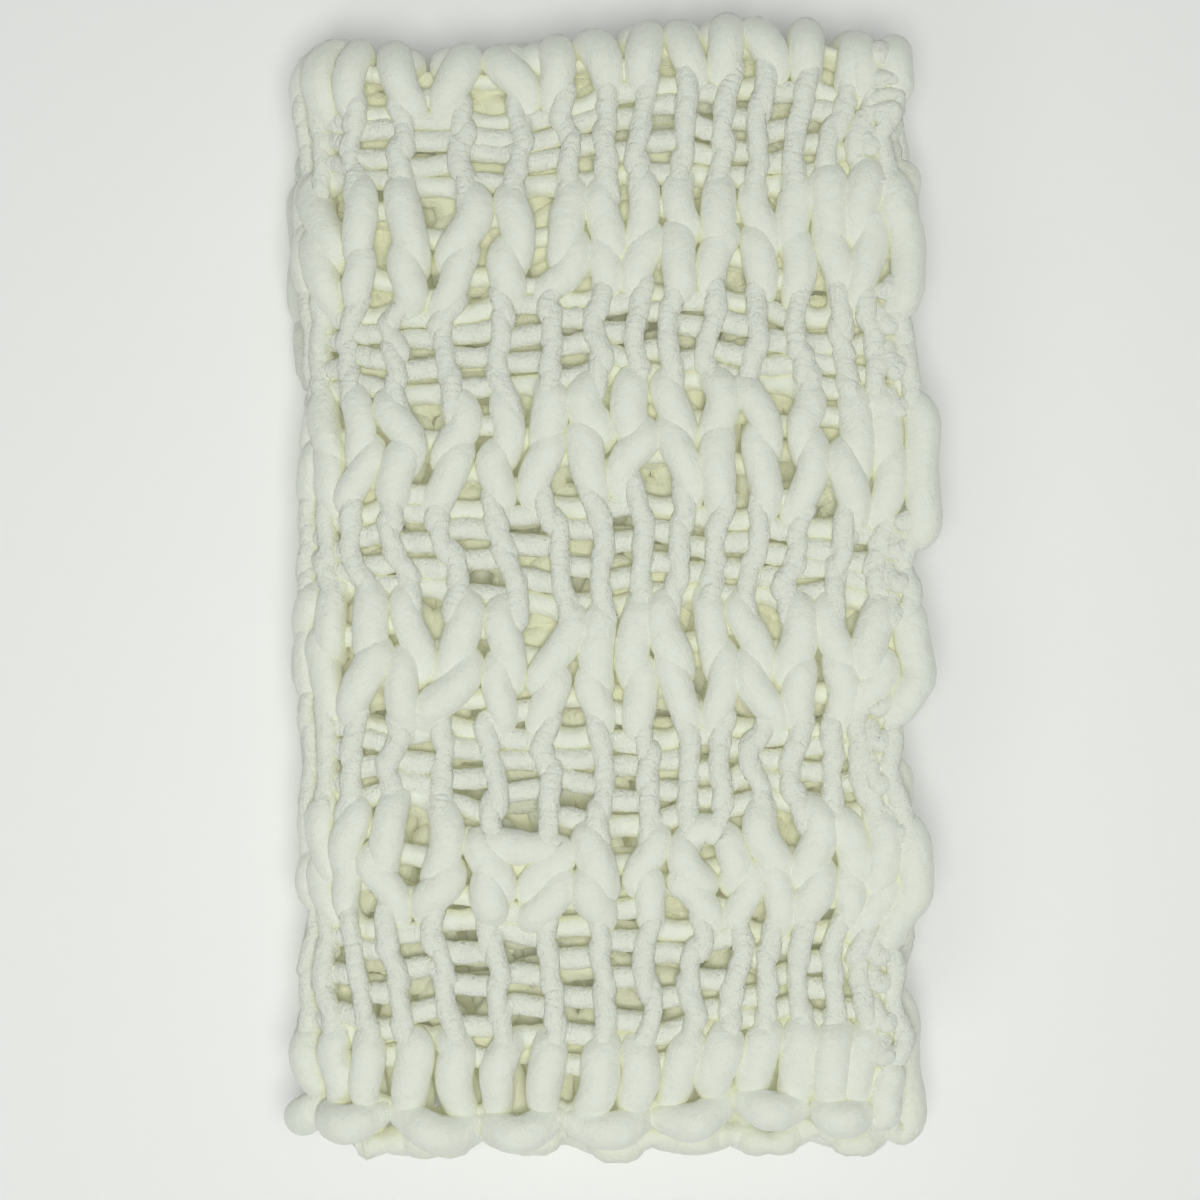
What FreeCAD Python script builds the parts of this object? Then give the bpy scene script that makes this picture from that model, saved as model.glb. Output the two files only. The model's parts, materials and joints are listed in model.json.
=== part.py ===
"""Folded throw blanket: a hand-knit cloth in two weights of plush yarn, as a parametric document.

The cloth is folded in half at its far edge into a double sheet, and the double sheet is folded in
thirds, like a letter Z, into a pile of three panels. Each side fold is a chain of three hinges.
Frame: +Z up, +Y to the far edge, +X to the right, origin under the middle of the pile, millimetres.
"""
import FreeCAD, Part
import os
import re

DIMENSIONS = {
    "layer": 31.0,              # one layer of cloth, over the thick yarn
    "thin_layer": 21.0,         # one layer of cloth, over the thin yarn
    "layer_gap": 0.3,           # between the two layers of a double sheet
    "panel_gap": 0.5,           # between one panel and the next in the pile
    "thick_course": 32.0,       # one knitted row of thick yarn
    "thin_course": 19.5,        # one knitted row of thin yarn
    "thick_courses": 2.0,       # rows in a thick band
    "thin_courses": 4.0,        # rows in a thin band
    "flat_width": 290.0,        # straight part of a panel, between its two folds
    "core_radius": 3.5,         # free space at the middle of a side fold
    "fold_clearance": 0.4,      # degrees, each side of the split between two fold segments
    "edge_roll": 12.0,          # radius of the roll along the cast-on and bind-off edges
    "edge_seat": 0.3,           # between that roll and the last row
    "edge_step": 19.0,          # the bind-off half reaches this much further than the other half
    "selvedge_loop": 11.0,      # radius of the yarn where it turns at a side edge
    "selvedge_length": 54.0,    # length of one turning loop
    "selvedge_reach": 12.0,     # a selvedge stands this far past the fold above or below it
}
REPEATS = 5                     # thin band and thick band pairs from the far fold to the near edge
FOLLOWING = {
    "sheet_height": "=2 * layer",
    "stack_pitch": "=sheet_height + panel_gap",
    "fold_radius": "=sheet_height + panel_gap / 2",
    "thick_band": "=thick_courses * thick_course",
    "thin_band": "=thin_courses * thin_course",
    "far_lead": "=thick_course - pi * layer / 4",
    "knit_length": f"=far_lead + {REPEATS} * (thick_band + thin_band)",
    "total_length": "=layer + knit_length + edge_step + edge_seat + 2 * edge_roll",
    "fold_line": "=total_length / 2 - layer",
    "right_centre": "=flat_width / 2",
    "selvedge_edge": "=right_centre + fold_radius + selvedge_reach",
    "selvedge_start": "=selvedge_edge - 2 * selvedge_loop - edge_seat",
}
SEGMENT_TURN = 60.0             # degrees that each of the three hinges of a side fold opens
HALF_SEGMENT = SEGMENT_TURN / 2
FOLD_TURN = 3 * SEGMENT_TURN
PANELS = ("bottom_panel", "middle_panel", "top_panel")

doc = FreeCAD.newDocument("folded_throw_blanket")
sheet = doc.addObject("Spreadsheet::Sheet", "Dimensions")


def fill_sheet():
    """Driving dimensions first, then the sizes that follow from them."""
    for row, (alias, value) in enumerate({**DIMENSIONS, **FOLLOWING}.items(), start=1):
        sheet.set(f"A{row}", alias)
        sheet.set(f"B{row}", str(value))
        sheet.setAlias(f"B{row}", alias)
    doc.recompute()


def on_sheet(words):
    """The same expression with each of the sheet's aliases written as Dimensions.alias."""
    def named(word):
        known = word.group() in DIMENSIONS or word.group() in FOLLOWING
        return ("Dimensions." if known else "") + word.group()

    return re.sub(r"[a-z_]\w*", named, words)


def place(part, x, y, z):
    for axis, words in zip("xyz", (x, y, z)):
        part.setExpression(f"Placement.Base.{axis}", on_sheet(words))


def add(kind, name, **sizes):
    part = doc.addObject(kind, name)
    for size, words in sizes.items():
        part.setExpression(size, on_sheet(words))
    return part


def slab(name, x, y, z):
    """A box between the two expressions of each axis."""
    part = add(
        "Part::Box",
        name,
        Length=f"({x[1]}) - ({x[0]})",
        Width=f"({y[1]}) - ({y[0]})",
        Height=f"({z[1]}) - ({z[0]})",
    )
    place(part, x[0], y[0], z[0])
    return part


def turned(part, start_angle):
    """Lays a round part's axis along -Y, with its sweep starting at start_angle from +X towards +Z."""
    lay = FreeCAD.Rotation(FreeCAD.Vector(1, 0, 0), 90)
    part.Placement.Rotation = lay * FreeCAD.Rotation(FreeCAD.Vector(0, 0, 1), start_angle)
    return part


def group(kind, name, parts):
    """One object of several: a Part::MultiFuse, or a Part::Compound of separate solids."""
    if len(parts) == 1:
        return parts[0]
    whole = doc.addObject(kind, name)
    if kind == "Part::MultiFuse":
        whole.Shapes = parts
        whole.Refine = True
    else:
        whole.Links = parts
    return whole


def cut(name, base, tool):
    whole = doc.addObject("Part::Cut", name)
    whole.Base = base
    whole.Tool = tool
    return whole


class Wrap:
    """The line that a side fold goes round, parallel to Y."""

    def __init__(self, name, x, z, first_angle, sense):
        self.name = name
        self.x = x
        self.z = z
        self.first_angle = first_angle
        self.sense = sense

    def sweep(self, first, last):
        """(start, span) of the sector from first to last, in degrees from where the fold begins."""
        ends = sorted((self.first_angle + self.sense * first, self.first_angle + self.sense * last))
        return ends[0], ends[1] - ends[0]

    def ring(self, name, inner, outer, y, first, last):
        """A sector of a tube between two radii."""
        start, span = self.sweep(first, last)
        disc = add("Part::Cylinder", name + "_disc", Radius=outer, Height=f"({y[1]}) - ({y[0]})")
        disc.Angle = span
        hole = add("Part::Cylinder", name + "_hole", Radius=inner, Height=f"({y[1]}) - ({y[0]})")
        for part in (disc, hole):
            turned(part, start)
            place(part, self.x, y[1], self.z)
        return cut(name, disc, hole)

    def roll(self, name, middle, radius, y, first, last):
        """A sector of a ring of round section."""
        start, span = self.sweep(first, last)
        part = add("Part::Torus", name, Radius1=middle, Radius2=radius)
        part.Angle3 = span
        turned(part, start)
        place(part, self.x, y, self.z)
        return part

    def far_bend(self, name, first, last):
        """The far fold of the double sheet, carried round the side fold."""
        start, span = self.sweep(first, last)
        round_end = self.roll(name + "_ring", "fold_radius - layer", "layer", "fold_line", first, last)
        beyond = slab(
            name + "_beyond",
            (f"{self.x} - 2 * fold_radius", f"{self.x} + 2 * fold_radius"),
            ("fold_line", "fold_line + 2 * layer"),
            (f"{self.z} - 2 * fold_radius", f"{self.z} + 2 * fold_radius"),
        )
        half = doc.addObject("Part::Common", name + "_half")
        half.Base = round_end
        half.Tool = beyond
        lead = add("Part::Cylinder", name + "_lead", Radius="fold_radius", Height="far_lead")
        lead.Angle = span
        core = add("Part::Cylinder", name + "_core", Radius="core_radius", Height="far_lead + layer")
        for part, y in ((lead, "fold_line"), (core, "fold_line + layer")):
            turned(part, start)
            place(part, self.x, y, self.z)
        return cut(name, group("Part::MultiFuse", name + "_whole", [half, lead]), core)


def layer_span(side, bottom):
    """Height limits of the lower or upper layer of the panel whose underside is at bottom."""
    if side == "lower":
        return f"{bottom}", f"{bottom} + layer - layer_gap / 2"
    return f"{bottom} + layer + layer_gap / 2", f"{bottom} + sheet_height"


def layer_radii(depth):
    """Inner and outer radius of the layer on the inner or outer side of a side fold."""
    if depth == "inner":
        return "core_radius", "fold_radius - layer - layer_gap / 2"
    return "fold_radius - layer + layer_gap / 2", "fold_radius"


def thinner(low, high):
    """The same span over thin yarn, about the same middle."""
    middle = f"(({low}) + ({high})) / 2"
    return f"{middle} - thin_layer / 2", f"{middle} + thin_layer / 2"


def thin_radii(depth):
    """Radii of the thin rows in a side fold, about the middle of their layer."""
    middle = "fold_radius - 1.5 * layer" if depth == "inner" else "fold_radius - layer / 2"
    return f"{middle} - thin_layer / 2", f"{middle} + thin_layer / 2"


def band_spans(weight, half):
    """Y limits of each band of one weight of yarn, from the far fold to the near edge."""
    spans = []
    for k in range(REPEATS):
        top = f"fold_line - far_lead - {k} * (thick_band + thin_band)"
        if weight == "thin":
            spans.append((f"{top} - thin_band", top))
            continue
        extra = " - edge_step" if half == "bind_off" and k == REPEATS - 1 else ""
        spans.append((f"{top} - thin_band - thick_band{extra}", f"{top} - thin_band"))
    return spans


def roll_line(half):
    """Y of the middle of the roll along the near edge of one half of the cloth."""
    step = " - edge_step" if half == "bind_off" else ""
    return f"fold_line - knit_length{step} - edge_seat - edge_roll"


RIGHT = Wrap("right_fold", "right_centre", "sheet_height + panel_gap / 2", -90.0, 1)
LEFT = Wrap("left_fold", "-right_centre", "2 * sheet_height + 1.5 * panel_gap", -90.0, -1)


class Panel:
    """One third of the pile: two layers, its own share of the folds beside it, and its edges."""

    def __init__(self, index, lower_half, folds, selvedge):
        self.name = PANELS[index]
        self.bottom = f"{index} * stack_pitch"
        self.halves = {"lower": lower_half, "upper": "cast_on" if lower_half == "bind_off" else "bind_off"}
        self.folds = folds          # (wrap, first turn, last turn, which layer is on the inner side)
        self.selvedge = selvedge    # -1 on the left, 1 on the right, 0 for none
        self.left = "-right_centre" if selvedge >= 0 else "-selvedge_start"
        self.right = "right_centre" if selvedge <= 0 else "selvedge_start"

    def bands(self, side, weight):
        """Every band of one weight of yarn in one layer."""
        z = layer_span(side, self.bottom)
        solids = []
        for k, y in enumerate(band_spans(weight, self.halves[side])):
            name = f"{self.name}_{side}_{weight}_{k}"
            height = z if weight == "thick" else thinner(*layer_middle(side, self.bottom))
            parts = [slab(name + "_flat", (self.left, self.right), y, height)]
            for wrap, first, last, inner_side in self.folds:
                depth = "inner" if inner_side == side else "outer"
                radii = layer_radii(depth) if weight == "thick" else thin_radii(depth)
                parts.append(wrap.ring(f"{name}_{wrap.name}", *radii, y, first, last))
            solids.append(group("Part::MultiFuse", name, parts))
        return group("Part::Compound", f"{self.name}_{side}_{weight}_bands", solids)

    def far_bend(self):
        """The double sheet's far fold: a half round along the panel and its share of the side folds."""
        name = self.name + "_far_bend"
        rod = add("Part::Cylinder", name + "_rod", Radius="layer", Height=f"{self.right} - ({self.left})")
        rod.Placement.Rotation = FreeCAD.Rotation(FreeCAD.Vector(0, 1, 0), 90)
        place(rod, self.left, "fold_line", f"{self.bottom} + layer")
        lead = slab(
            name + "_flat",
            (self.left, self.right),
            ("fold_line - far_lead", "fold_line"),
            (self.bottom, f"{self.bottom} + sheet_height"),
        )
        near_half = slab(
            name + "_near_half",
            (self.left, self.right),
            ("fold_line - 2 * layer", "fold_line"),
            (f"{self.bottom} - layer", f"{self.bottom} + 3 * layer"),
        )
        parts = [cut(name + "_round", rod, near_half), lead]
        for wrap, first, last, _ in self.folds:
            parts.append(wrap.far_bend(f"{name}_{wrap.name}", first, last))
        return group("Part::MultiFuse", name, parts)

    def edge(self, half):
        """The roll along the near edge of one half of the cloth."""
        side = "lower" if self.halves["lower"] == half else "upper"
        name = f"{self.name}_{half}_edge"
        rod = add("Part::Cylinder", name + "_rod", Radius="edge_roll", Height=f"{self.right} - ({self.left})")
        rod.Placement.Rotation = FreeCAD.Rotation(FreeCAD.Vector(0, 1, 0), 90)
        low, high = layer_middle(side, self.bottom)
        place(rod, self.left, roll_line(half), f"(({low}) + ({high})) / 2")
        parts = [rod]
        for wrap, first, last, inner_side in self.folds:
            middle = "fold_radius - 1.5 * layer" if inner_side == side else "fold_radius - layer / 2"
            parts.append(
                wrap.roll(f"{name}_{wrap.name}", middle, "edge_roll", roll_line(half), first, last)
            )
        return group("Part::MultiFuse", name, parts)

    def selvedge_loops(self):
        """The thick yarn's turning loops along the panel's free side, one a band in each layer."""
        solids = []
        x = f"{self.selvedge} * (selvedge_edge - selvedge_loop)"
        for side in ("lower", "upper"):
            low, high = layer_middle(side, self.bottom)
            for k, (near, far) in enumerate(band_spans("thick", "cast_on")):
                loop = add(
                    "Part::Cylinder",
                    f"{self.name}_{side}_loop_{k}",
                    Radius="selvedge_loop",
                    Height="selvedge_length",
                )
                turned(loop, 0.0)
                middle = f"(({near}) + ({far})) / 2 + selvedge_length / 2"
                place(loop, x, middle, f"(({low}) + ({high})) / 2")
                solids.append(loop)
        return group("Part::Compound", self.name + "_selvedge_loops", solids)

    def nodes(self):
        made = {f"{self.name}_{s}_{w}_bands": self.bands(s, w) for s in ("lower", "upper")
                for w in ("thick", "thin")}
        made[self.name + "_far_bend"] = self.far_bend()
        for half in ("cast_on", "bind_off"):
            made[f"{self.name}_{half}_edge"] = self.edge(half)
        if self.selvedge:
            made[self.name + "_selvedge_loops"] = self.selvedge_loops()
        return made


def layer_middle(side, bottom):
    """Height limits of a whole layer, with no gap taken off."""
    start = f"{bottom}" if side == "lower" else f"{bottom} + layer"
    return start, f"{start} + layer"


def segment_nodes(wrap, name, first, last, inner_half):
    """One stiff segment of a side fold: thick bands, thin bands, far bend and edge rolls."""
    halves = {"inner": inner_half, "outer": "cast_on" if inner_half == "bind_off" else "bind_off"}
    made = {}
    for weight, radii in (("thick", layer_radii), ("thin", thin_radii)):
        rings = [
            wrap.ring(f"{name}_{weight}_{depth}_{k}", *radii(depth), y, first, last)
            for depth in ("inner", "outer")
            for k, y in enumerate(band_spans(weight, halves[depth]))
        ]
        made[f"{name}_{weight}_bands"] = group("Part::Compound", f"{name}_{weight}_bands", rings)
    made[name + "_far_bend"] = wrap.far_bend(name + "_far_bend", first, last)
    middles = {"inner": "fold_radius - 1.5 * layer", "outer": "fold_radius - layer / 2"}
    rolls = [
        wrap.roll(f"{name}_roll_{depth}", middles[depth], "edge_roll", roll_line(half), first, last)
        for depth, half in halves.items()
    ]
    made[name + "_edges"] = group("Part::Compound", name + "_edges", rolls)
    return made


def build():
    """Every node of the blanket, by name."""
    gap = DIMENSIONS["fold_clearance"]
    start = (0.0, HALF_SEGMENT - gap)
    end = (FOLD_TURN - HALF_SEGMENT + gap, FOLD_TURN)
    middle = FOLD_TURN / 2
    panels = (
        Panel(0, "bind_off", [(RIGHT, *start, "upper")], -1),
        Panel(1, "cast_on", [(RIGHT, *end, "lower"), (LEFT, *start, "upper")], 0),
        Panel(2, "bind_off", [(LEFT, *end, "lower")], 1),
    )
    made = {}
    for panel in panels:
        made.update(panel.nodes())
    for wrap, inner_half in ((RIGHT, "cast_on"), (LEFT, "bind_off")):
        lower = (HALF_SEGMENT + gap, middle - gap)
        upper = (middle + gap, FOLD_TURN - HALF_SEGMENT - gap)
        made.update(segment_nodes(wrap, wrap.name + "_lower", *lower, inner_half))
        made.update(segment_nodes(wrap, wrap.name + "_upper", *upper, inner_half))
    return made


def check(nodes):
    """Stops if any object failed or any node's shape is null or not valid."""
    failed = [o.Name for o in doc.Objects if "Invalid" in o.State or "Error" in o.State]
    if failed:
        raise RuntimeError(f"objects that failed: {failed}")
    for name, part in nodes.items():
        if part.Shape.isNull() or not part.Shape.isValid() or not part.Shape.Solids:
            raise RuntimeError(f"{name} has no valid solid")


fill_sheet()
nodes = build()
for label, part in nodes.items():
    part.Label = label
doc.recompute()
check(nodes)
os.makedirs("parts", exist_ok=True)
for label, part in nodes.items():
    part.Shape.exportStep(os.path.join("parts", label + ".step"))
print(len(nodes), "nodes", sum(len(p.Shape.Solids) for p in nodes.values()), "solids")
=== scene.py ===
"""Looks of the folded throw blanket: every stitch of the cloth as a plush tube, folded as the frame is.

The cloth is worked out flat first, in "cloth places" (across, along, out): across counts the columns of
stitches from the bottom panel's free selvedge, along runs from the cast-on edge to the bind-off edge with
0 at the far fold, and out stands off the cloth's middle on the side where the stitches show as V shapes.
Each strand becomes a tube there, and the tubes' points are then folded to their places in the pile.
"""
import json
import math
import bpy
import numpy as np
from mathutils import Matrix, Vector


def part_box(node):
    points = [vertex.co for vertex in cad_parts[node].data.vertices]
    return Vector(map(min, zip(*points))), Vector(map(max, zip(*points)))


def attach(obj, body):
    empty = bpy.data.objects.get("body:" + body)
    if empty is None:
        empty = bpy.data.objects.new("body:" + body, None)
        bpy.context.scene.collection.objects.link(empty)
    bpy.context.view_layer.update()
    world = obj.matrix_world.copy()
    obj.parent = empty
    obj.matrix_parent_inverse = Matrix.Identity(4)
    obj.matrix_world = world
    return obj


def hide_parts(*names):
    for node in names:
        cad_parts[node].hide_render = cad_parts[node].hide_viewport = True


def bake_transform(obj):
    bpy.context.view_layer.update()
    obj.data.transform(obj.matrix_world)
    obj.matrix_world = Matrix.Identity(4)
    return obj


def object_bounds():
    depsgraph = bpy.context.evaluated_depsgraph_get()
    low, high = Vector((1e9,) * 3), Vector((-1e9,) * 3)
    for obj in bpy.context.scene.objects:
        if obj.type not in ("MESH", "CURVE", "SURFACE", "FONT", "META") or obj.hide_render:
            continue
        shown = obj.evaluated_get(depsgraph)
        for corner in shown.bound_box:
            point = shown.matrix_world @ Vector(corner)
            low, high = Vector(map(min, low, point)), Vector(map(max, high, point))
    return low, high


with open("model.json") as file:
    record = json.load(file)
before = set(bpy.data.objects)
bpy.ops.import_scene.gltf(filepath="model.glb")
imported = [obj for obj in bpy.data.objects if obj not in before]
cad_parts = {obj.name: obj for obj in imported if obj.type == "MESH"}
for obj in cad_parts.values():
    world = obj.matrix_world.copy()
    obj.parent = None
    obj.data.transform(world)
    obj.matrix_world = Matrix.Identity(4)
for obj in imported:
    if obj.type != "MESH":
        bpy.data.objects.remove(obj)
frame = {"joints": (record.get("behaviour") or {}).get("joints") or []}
CAD_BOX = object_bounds()
MM = 0.001
SEED = 20


# ---------------------------------------------------------------- sizes read from the frame
def joint_place(name):
    """(x, z) of a hinge of the frame."""
    found = next(j for j in frame["joints"] if j["name"] == name)
    return np.array([found["pos_m"][0], found["pos_m"][2]])


FAR_LOW, FAR_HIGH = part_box("bottom_panel_far_bend")
LAYER = (FAR_HIGH.z - FAR_LOW.z) / 2                       # one layer of cloth over thick yarn
FOLD_Y = FAR_HIGH.y - LAYER                                # where the far bend begins
RIGHT_HINGES = [joint_place(n) for n in ("right_fold", "right_fold_middle", "right_fold_top")]
LEFT_HINGES = [joint_place(n) for n in ("left_fold", "left_fold_middle", "left_fold_top")]
SEGMENT = math.radians(60)                                 # turn of one hinge
FOLD_R = float(RIGHT_HINGES[1][1] - RIGHT_HINGES[0][1]) / math.sin(SEGMENT)
RIGHT_X = float(RIGHT_HINGES[1][0]) - FOLD_R
RIGHT_Z = float(RIGHT_HINGES[1][1])
LEFT_X = float(LEFT_HINGES[1][0]) + FOLD_R
LEFT_Z = float(LEFT_HINGES[1][1])
CAST_ROLL_Y = sum(v.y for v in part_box("top_panel_cast_on_edge")) / 2
BIND_ROLL_Y = sum(v.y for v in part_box("top_panel_bind_off_edge")) / 2
BEND_R = LAYER / 2                                         # middle of the cloth round the far bend
BEND = BEND_R * math.pi / 2                                # half of the cloth in the far bend

NEAR_EDGE = (600, 740)                                     # mm along, where the near edge's shifts set in

# ---------------------------------------------------------------- the knit
FLAT_WALES = 5                                             # columns of stitches between the two folds
FOLD_WALES = 3                                             # columns in one side fold, one a hinge
SIDE_WALES = 6                                             # columns in the bottom and top panels
WALE = (RIGHT_X - LEFT_X) / FLAT_WALES
WALES = 2 * SIDE_WALES + 2 * FOLD_WALES + FLAT_WALES
R_START = SIDE_WALES
R_END = R_START + FOLD_WALES
L_START = R_END + FLAT_WALES
L_END = L_START + FOLD_WALES
THICK, THIN = "thick", "thin"
CAST, BIND = "cast_on", "bind_off"
# leg, back: the yarn's radius in a stitch's legs and behind it. front, behind: how far those stand off the
# cloth's middle. hook: how far a loop reaches into its neighbour. lean: how far the legs lean into a V.
# square: how upright the legs rise.
YARN = {
    THICK: dict(
        leg=12.2 * MM, back=7.6 * MM, front=3.6 * MM, behind=-8.0 * MM, hook=12.0 * MM, lean=1.15, square=0.5
    ),
    THIN: dict(
        leg=7.1 * MM, back=7.7 * MM, front=4.6 * MM, behind=-3.6 * MM, hook=6.0 * MM, lean=0.72, square=1.0
    ),
}
THICK_COURSE = 32.0 * MM
THIN_COURSE = 19.5 * MM
BANDS = 5                                                  # thin bands in each half of the cloth
THIN_ROWS = 4                                              # rows in a thin band
BORDER_THIN = 20.0 * MM                                    # stretch of the thin rows nearest the cast-on edge
BORDER_COURSE = 42.0 * MM                                  # the upright stitches of the cast-on edge
BIND_STRETCH = 19.0 * MM                                   # how much further the bind-off half reaches
ROLL_R = 13.4 * MM                                         # fattest part of a stitch of the edge chains
ROLL_NECK_R = 6.8 * MM                                     # where one stitch of the chain meets the next
SQUEEZED_ROLL_R = 9.5 * MM                                 # fattest part on the crowded inside of a fold
ROLL_TRIM = 0.22                                           # share of a stitch left off a chain's free end
HIDDEN_END = 0.7                                           # narrowing of an end that hides in its neighbour
SLACK_ROW = 6                                              # row with slack stitches, from the cast-on edge
SLACK = {18: 1.0, 20: 0.8}                                 # their columns, and how slack each is
UPRIGHT_LEG = 1.12                                         # how much fatter the upright stitches are
TURN_REACH = {                                             # how far a turning loop stands past the side edge
    (THICK, True): 14.0 * MM,
    (THICK, False): 2.0 * MM,
    (THIN, True): 7.0 * MM,
    (THIN, False): 3.0 * MM,
}
CARRIED_R = 6.4 * MM                                       # thin yarn carried up the side edge
CARRIED_PITCH = 27.0 * MM                                  # length of one of its curls
TUFT_R = 6.6 * MM                                          # yarn of the tuft at the far right corner
TUFT_TURNS = 3.4


class Course:
    """One knitted row, between two interlock lines along the cloth."""

    def __init__(self, weight, low, high, kind="band", half=CAST, upright=False):
        self.weight, self.low, self.high = weight, low, high
        self.kind, self.half, self.upright = kind, half, upright


def half_courses(half):
    """Rows of one half of the cloth, from the far fold out: (weight, start, end, kind, upright)."""
    rows = [(THICK, 0.0, THICK_COURSE, "far", False)]
    at = THICK_COURSE
    for band in range(BANDS):
        last = band == BANDS - 1
        thin = THIN_ROWS * THIN_COURSE + (BORDER_THIN if last and half == CAST else 0.0)
        for _ in range(THIN_ROWS):
            rows.append((THIN, at, at + thin / THIN_ROWS, "band", False))
            at += thin / THIN_ROWS
        if last and half == CAST:
            rows.append((THICK, at, at + BORDER_COURSE, "band", True))
            continue
        rows.append((THICK, at, at + THICK_COURSE, "band", False))
        at += THICK_COURSE
        deep = THICK_COURSE + (BIND_STRETCH if last else 0.0)
        rows.append((THICK, at, at + deep, "band", last))
        at += deep
    return rows


def all_courses():
    """Every row from the cast-on edge to the bind-off edge."""
    made = []
    for weight, near, far, kind, upright in reversed(half_courses(CAST)):
        made.append(Course(weight, -far, -near, kind, CAST, upright))
    for weight, near, far, kind, upright in half_courses(BIND):
        made.append(Course(weight, near, far, kind, BIND, upright))
    return made


COURSES = all_courses()
CAST_ROLL = -(BEND + FOLD_Y - CAST_ROLL_Y)
BIND_ROLL = BEND + FOLD_Y - BIND_ROLL_Y

rng = np.random.default_rng(SEED)
# the slow drift of the cloth: shortest and longest wave, its size (across, along, out), and how many
WAVES = [
    dict(
        turn=rng.uniform(0, math.pi),
        length=rng.uniform(low, high) * MM,
        phase=rng.uniform(0, 2 * math.pi, 3),
        size=np.array(size) * MM,
    )
    for low, high, size, count in (
        (220, 380, (3.2, 3.0, 1.1), 4),
        (95, 150, (1.5, 1.6, 0.7), 6),
        (45, 70, (0.8, 0.9, 0.4), 8),
    )
    for _ in range(count)
]
HAND = {
    # unevenness of the hand knitting, one draw for each half stitch
    "lean": rng.normal(0.0, 0.22, (len(COURSES), WALES, 2)).clip(-0.5, 0.5),
    "bow": rng.normal(0.0, 1.0, (len(COURSES), WALES, 2)).clip(-2, 2),
    "fat": rng.normal(1.0, 0.055, (len(COURSES), WALES, 2)).clip(0.86, 1.13),
    "head": rng.normal(0.0, 1.0, (len(COURSES), WALES)).clip(-2, 2),
    "out": rng.normal(0.0, 1.0, (len(COURSES), WALES, 2)).clip(-2, 2),
}


def smooth(x):
    """Rises gently from 0 to 1."""
    x = np.clip(x, 0.0, 1.0)
    return x * x * (3 - 2 * x)


def pulled(across, along):
    """How far the cloth is pulled out of square: the top panel mostly, and the bottom panel's near corner."""
    w = across / WALE
    top_slides = 20.0 * MM * smooth((w - L_END + 0.3) / 2.6)
    top_eases = 5.0 * MM * smooth((w - L_END - 3.0) / 2.0)
    side_edge_in = 13.0 * MM * smooth((w - L_END - 5.0) / 1.0)
    free_edge_in = 9.0 * MM * smooth(1 - w)
    far_corner_in = 12.0 * MM * smooth((w - WALES + 0.8) / 0.7) * np.exp(-((along / (30 * MM)) ** 2))
    sideways = top_slides - top_eases - side_edge_in + free_edge_in - far_corner_in
    down = np.interp(-along / MM, (0, 142, 284, 426, 568, 700, 760), (0, 4, 8, 12, 16, 3, 0)) * MM
    under = np.interp(along / MM, (0, 60, 700, 750), (0, 9.5, 9.5, 0)) * MM
    near_edge = np.interp(np.abs(along) / MM, NEAR_EDGE, (0, 1))
    corner = 16.0 * MM * smooth((2.0 - w) / 2.0) * near_edge
    return sideways, -down * smooth((w - L_START) / FOLD_WALES) - under - np.sign(along) * corner


def uneven(across, along, out):
    """The slow drift of a hand-made cloth: neighbours move together, so no stitch comes undone."""
    sideways, down = pulled(across, along)
    shift = np.stack([sideways, down, np.zeros(across.shape)])
    for w in WAVES:
        run = (across * math.cos(w["turn"]) + along * math.sin(w["turn"])) * 2 * math.pi / w["length"]
        for axis in range(3):
            shift[axis] += w["size"][axis] * np.sin(run + w["phase"][axis])
    return across + shift[0], along + shift[1], out + shift[2]


def slackness(number, column):
    """How slack each stitch is: only two in the nearest full thick band of the top panel are."""
    if number != SLACK_ROW:
        return np.zeros(column.shape)
    return np.array([SLACK.get(int(c), 0.0) for c in column])


def stitches(number, places):
    """Cloth places and radius of row number's yarn at places, counted in columns of stitches."""
    row = COURSES[number]
    yarn = YARN[row.weight]
    column = np.clip(np.floor(places).astype(int), 0, WALES - 1)
    turn = (places - column) * 2 * math.pi - math.pi
    side = (turn > 0).astype(int)
    leg = np.sin(turn) ** 2
    slack = slackness(number, column)
    lean = yarn["lean"] * (0.5 if row.upright else 1.0) + 0.4 * slack
    hand_share = 0.5 if row.weight == THIN else 1.0
    lean = lean + HAND["lean"][number, column, side] * (0.3 if row.upright else hand_share)
    bow = 0.055 * yarn["leg"] * 2 * HAND["bow"][number, column, side] * leg
    across = (column + 0.5) * WALE + WALE / (2 * math.pi) * (turn + lean * np.sin(2 * turn)) + bow
    rise = np.cos(turn)
    rise = (1 + rise * (1 + yarn["square"] * 0.5 * (1 - rise**2))) / 2
    head = row.high + yarn["hook"] * (1 - 1.2 * slack) + 0.09 * yarn["leg"] * HAND["head"][number, column]
    foot = row.low - yarn["hook"] * (0.2 if row.upright else 1.0)
    along = foot + (head - foot) * rise
    skew = np.abs(turn) + 0.2 * np.sin(np.abs(turn))
    back = np.cos(2 * (skew if row.weight == THICK else turn))
    back = (1 + back * (1.5 - 0.5 * back**2)) / 2
    at_head = smooth((math.pi * 0.3 - np.abs(turn)) / (math.pi * 0.2))
    back = back * (1 - 0.95 * slack * at_head)
    out = yarn["front"] + (yarn["behind"] - yarn["front"]) * back
    out = out + 0.07 * yarn["leg"] * HAND["out"][number, column, side] * leg
    swell = np.maximum(np.abs(np.sin(skew)) ** (0.8 if row.upright else 1.4), 0.85 * slack * at_head)
    leg_radius = yarn["leg"] * (UPRIGHT_LEG if row.upright else 1.0) * HAND["fat"][number, column, side]
    radius = yarn["back"] + (leg_radius - yarn["back"]) * swell
    return across, along, out, radius


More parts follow.
